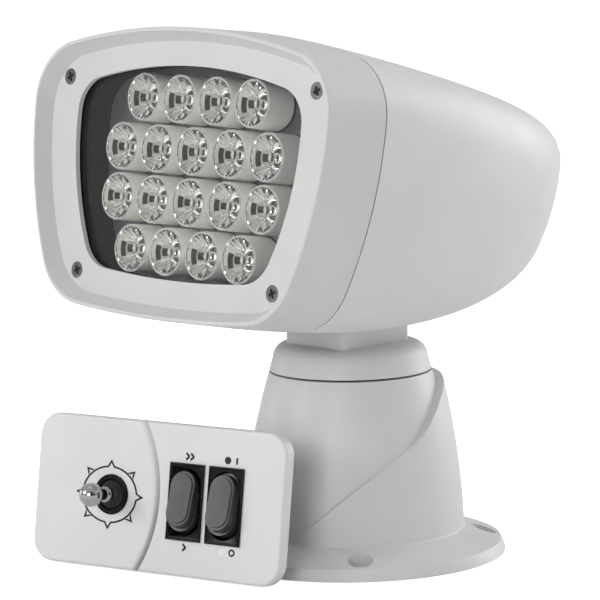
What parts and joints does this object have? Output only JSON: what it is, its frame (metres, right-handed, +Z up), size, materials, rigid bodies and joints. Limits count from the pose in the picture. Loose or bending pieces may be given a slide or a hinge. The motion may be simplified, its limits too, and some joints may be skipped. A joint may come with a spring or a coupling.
{
  "type": "marine searchlight",
  "caption": "Remote-controlled LED searchlight: bullet-shaped lamp head that pans and tilts on a tapered pedestal, with its joystick control panel.",
  "frame": {"origin": "on the pan axis, on the underside of the mounting flange", "axes": "+Z up along the pan axis; the lamp looks towards -Y; +X to the lamp's left"},
  "size_m": [0.2053, 0.2473, 0.2621],
  "materials": {
    "shell_white": "satin white moulded housing",
    "panel_white": "satin white moulded panel",
    "rubber_black": "matt black seal",
    "plastic_black": "fine-textured black",
    "rocker_black": "satin black",
    "holder_grey": "light grey moulded lens barrel",
    "glass_clear": "clear flat window",
    "lens_clear": "clear moulded optic",
    "led_yellow": "yellow phosphor on a white base",
    "board_white": "white solder mask on metal",
    "board_green": "green solder mask",
    "aluminium": "plain machined",
    "steel": "dark stainless steel",
    "knob_chrome": "polished chrome",
    "gear_acetal": "natural acetal",
    "terminal_brass": "tinned brass blade"
  },
  "bodies": {
    "base": {"pedestal_shell": "shell_white", "base_gasket": "rubber_black", "base_plate": "aluminium", "cable_gland": "plastic_black", "base_plate_screws": "steel", "pan_bearing_outer": "steel", "pan_bearing_balls": "steel", "pan_seal": "rubber_black", "motor_plate": "aluminium", "motor_plate_screws": "steel", "pan_motor": "steel", "panel_plate": "panel_white", "switch_speed": "plastic_black", "switch_power": "plastic_black", "switch_terminals": "terminal_brass", "rocker_pins": "steel", "joystick_housing": "plastic_black", "joystick_ring": "plastic_black", "joystick_board": "board_green", "panel_connector": "plastic_black"},
    "turret": {"turret_housing": "shell_white", "turret_spindle": "aluminium", "spindle_screws": "steel", "spindle_nut": "steel", "pan_bearing_inner": "steel", "pan_gear": "gear_acetal", "tilt_bushes": "gear_acetal", "tilt_motor": "steel"},
    "head": {"bezel": "shell_white", "bezel_screws": "steel", "window_glass": "glass_clear", "window_gasket": "rubber_black", "housing_seal": "rubber_black", "rear_shell": "shell_white", "light_shroud": "plastic_black", "led_board": "board_white", "leds": "led_yellow", "lens_holders": "holder_grey", "holder_rings": "plastic_black", "lenses": "lens_clear", "heatsink": "aluminium", "chassis": "aluminium", "chassis_screws": "steel", "led_driver": "plastic_black", "tilt_axle": "steel", "axle_nut": "steel", "tilt_gear": "gear_acetal"},
    "pan_pinion": {"pan_pinion": "steel"},
    "tilt_pinion": {"tilt_pinion": "steel"},
    "rocker_speed": {"rocker_speed": "rocker_black"},
    "rocker_power": {"rocker_power": "rocker_black"},
    "joystick_gimbal": {"gimbal_ring": "steel", "gimbal_pins": "steel"},
    "joystick_lever": {"joystick_lever": "knob_chrome", "joystick_dome": "plastic_black", "lever_pin": "steel"}
  },
  "joints": [
    {"name": "pan", "type": "hinge", "parent": "base", "child": "turret", "pos_m": [0, 0, 0.0904], "axis": [0, 0, 1], "range_deg": [-180, 180]},
    {"name": "tilt", "type": "hinge", "parent": "turret", "child": "head", "pos_m": [0, 0, 0.14], "axis": [-1, 0, 0], "range_deg": [-18, 22]},
    {"name": "pan_pinion_spin", "type": "hinge", "parent": "base", "child": "pan_pinion", "pos_m": [0, 0.02615, 0.0715], "axis": [0, 0, 1], "range_deg": [-601, 601]},
    {"name": "tilt_pinion_spin", "type": "hinge", "parent": "turret", "child": "tilt_pinion", "pos_m": [0.0105, 0, 0.12085], "axis": [-1, 0, 0], "range_deg": [-63, 63]},
    {"name": "speed_switch", "type": "hinge", "parent": "base", "child": "rocker_speed", "pos_m": [-0.01627, -0.09269, 0.03543], "axis": [0.9708, 0.2399, 0], "range_deg": [0, 22]},
    {"name": "power_switch", "type": "hinge", "parent": "base", "child": "rocker_power", "pos_m": [0.00528, -0.08736, 0.03543], "axis": [0.9708, 0.2399, 0], "range_deg": [0, 22]},
    {"name": "joystick_up_down", "type": "hinge", "parent": "base", "child": "joystick_gimbal", "pos_m": [-0.05837, -0.10158, 0.03508], "axis": [0.9708, 0.2399, 0], "range_deg": [-15, 15], "stiffness_Nm_per_rad": 0.05},
    {"name": "joystick_left_right", "type": "hinge", "parent": "joystick_gimbal", "child": "joystick_lever", "pos_m": [-0.05837, -0.10158, 0.03508], "axis": [-0.0394, 0.1594, 0.9864], "range_deg": [-15, 15], "stiffness_Nm_per_rad": 0.05}
  ],
  "couplings": [
    {"joint": "pan_pinion_spin", "follows": "pan", "ratio": -3.3333},
    {"joint": "tilt_pinion_spin", "follows": "tilt", "ratio": -2.8}
  ]
}
